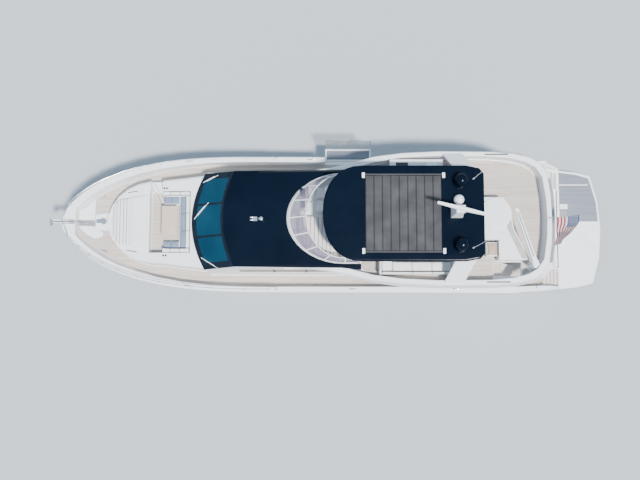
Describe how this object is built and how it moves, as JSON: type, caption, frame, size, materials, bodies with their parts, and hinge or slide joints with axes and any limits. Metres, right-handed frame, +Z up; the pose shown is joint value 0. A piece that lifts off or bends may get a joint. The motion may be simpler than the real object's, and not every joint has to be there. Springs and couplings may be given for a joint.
{
  "type": "motor yacht",
  "caption": "Flybridge motor yacht with fore deck lounge, hardtop, fold-down side balcony, stern crane and lowering swim platform.",
  "frame": {"origin": "amidships on the centreline, at the waterline", "axes": "+X towards the bow, +Y to port, +Z up"},
  "size_m": [26.71, 7.2556, 9.91],
  "materials": {
    "gelcoat": "glossy white moulded laminate",
    "teak": "weathered teak planks with dark caulking",
    "dark_glass": "tinted glass",
    "dark_gloss": "dark blue gloss paint",
    "stainless": "polished stainless steel",
    "bronze": "cast bronze",
    "vinyl": "white marine upholstery",
    "roof_fabric": "woven cloth",
    "tan_wood": "pale satin wood"
  },
  "bodies": {
    "hull": {"aft_glass": "dark_glass", "anchor": "stainless", "arch_port": "gelcoat", "arch_starboard": "gelcoat", "cockpit_sofa": "vinyl", "cockpit_table": "teak", "crane_post": "gelcoat", "deck_teak": "teak", "deckhouse": "gelcoat", "dome_port": "dark_gloss", "dome_starboard": "dark_gloss", "ensign": "roof_fabric", "flag_staff": "stainless", "fly_bar": "gelcoat", "fly_coaming": "gelcoat", "fly_console": "gelcoat", "fly_deck": "gelcoat", "fly_galley": "gelcoat", "fly_lounge": "vinyl", "fly_screen": "dark_glass", "fly_screen_rail": "stainless", "fly_sofa": "vinyl", "fly_stairs": "gelcoat", "fly_table": "teak", "fore_sofa": "vinyl", "fore_sunpad": "vinyl", "fore_table": "tan_wood", "fore_trunk": "gelcoat", "forward_roof": "dark_gloss", "guard_rail": "stainless", "hardtop": "dark_gloss", "helm_seat_centre": "vinyl", "helm_seat_starboard": "vinyl", "hull": "gelcoat", "post_port": "stainless", "post_starboard": "stainless", "radar_mast": "gelcoat", "side_glass_port": "dark_glass", "side_glass_starboard": "dark_glass", "sunroof": "roof_fabric", "transom_block": "gelcoat", "windlass": "stainless", "windscreen": "dark_glass"},
    "propeller_port": {"propeller_port": "bronze"},
    "propeller_starboard": {"propeller_starboard": "bronze"},
    "rudder_port": {"rudder_port": "bronze"},
    "rudder_starboard": {"rudder_starboard": "bronze"},
    "fly_wheel": {"fly_wheel": "stainless"},
    "radar_scanner": {"radar_scanner": "gelcoat"},
    "balcony": {"balcony": "gelcoat"},
    "balcony_rail": {"balcony_rail": "stainless"},
    "crane_head": {"crane_head": "gelcoat"},
    "crane_boom": {"crane_boom": "gelcoat"},
    "lift_arms_upper": {"lift_arms_upper": "stainless"},
    "lift_arms_lower": {"lift_arms_lower": "stainless"},
    "swim_platform": {"swim_platform": "gelcoat"},
    "cockpit_door": {"cockpit_door": "dark_glass"},
    "transom_door": {"transom_door": "gelcoat"}
  },
  "joints": [
    {"name": "propeller_port_spin", "type": "hinge", "parent": "hull", "child": "propeller_port", "pos_m": [-9.75, 1.15, -1.24], "axis": [-0.9708, 0, -0.24], "continuous": true},
    {"name": "propeller_starboard_spin", "type": "hinge", "parent": "hull", "child": "propeller_starboard", "pos_m": [-9.75, -1.15, -1.24], "axis": [-0.9708, 0, -0.24], "continuous": true},
    {"name": "rudder_port_turn", "type": "hinge", "parent": "hull", "child": "rudder_port", "pos_m": [-10.3, 1.3, -0.8], "axis": [0, 0, 1], "range_deg": [-35, 35]},
    {"name": "rudder_starboard_turn", "type": "hinge", "parent": "hull", "child": "rudder_starboard", "pos_m": [-10.3, -1.3, -0.8], "axis": [0, 0, 1], "range_deg": [-35, 35]},
    {"name": "fly_wheel_turn", "type": "hinge", "parent": "hull", "child": "fly_wheel", "pos_m": [1.492, -0.9, 4.905], "axis": [-0.8708, 0, 0.4916], "range_deg": [-540, 540]},
    {"name": "radar_spin", "type": "hinge", "parent": "hull", "child": "radar_scanner", "pos_m": [-4.98, 0, 8], "axis": [0, 0, 1], "continuous": true},
    {"name": "balcony_fold", "type": "hinge", "parent": "hull", "child": "balcony", "pos_m": [-0.4, -3.2, 2.05], "axis": [-1, 0, 0], "range_deg": [0, 90]},
    {"name": "balcony_rail_fold", "type": "hinge", "parent": "balcony", "child": "balcony_rail", "pos_m": [-0.4, -3.74, 2.135], "axis": [-1, 0, 0], "range_deg": [-75, 0]},
    {"name": "crane_slew", "type": "hinge", "parent": "hull", "child": "crane_head", "pos_m": [-8.65, 2.15, 5.2], "axis": [0, 0, 1], "range_deg": [0, 200]},
    {"name": "crane_luff", "type": "hinge", "parent": "crane_head", "child": "crane_boom", "pos_m": [-8.6312, 2.093, 5.42], "axis": [-0.9498, -0.3128, 0], "range_deg": [0, 60]},
    {"name": "platform_lower", "type": "hinge", "parent": "hull", "child": "lift_arms_upper", "pos_m": [-11.06, 0, -0.345], "axis": [0, -1, 0], "range_deg": [0, 45]},
    {"name": "platform_lower_arms", "type": "hinge", "parent": "hull", "child": "lift_arms_lower", "pos_m": [-11.06, 0, -0.53], "axis": [0, -1, 0], "range_deg": [0, 45]},
    {"name": "platform_level", "type": "hinge", "parent": "lift_arms_upper", "child": "swim_platform", "pos_m": [-11.8394, 0, 0.105], "axis": [0, -1, 0], "range_deg": [-45, 0]},
    {"name": "transom_door_lift", "type": "hinge", "parent": "hull", "child": "transom_door", "pos_m": [-10.0797, 0, 2.592], "axis": [0, 1, 0], "range_deg": [0, 75]},
    {"name": "cockpit_door_slide", "type": "slide", "parent": "hull", "child": "cockpit_door", "axis": [0, 1, 0], "range_m": [0, 1.06]}
  ],
  "couplings": [
    {"joint": "rudder_starboard_turn", "follows": "rudder_port_turn", "ratio": 1},
    {"joint": "balcony_rail_fold", "follows": "balcony_fold", "ratio": -0.83333},
    {"joint": "platform_lower_arms", "follows": "platform_lower", "ratio": 1},
    {"joint": "platform_level", "follows": "platform_lower", "ratio": -1}
  ]
}
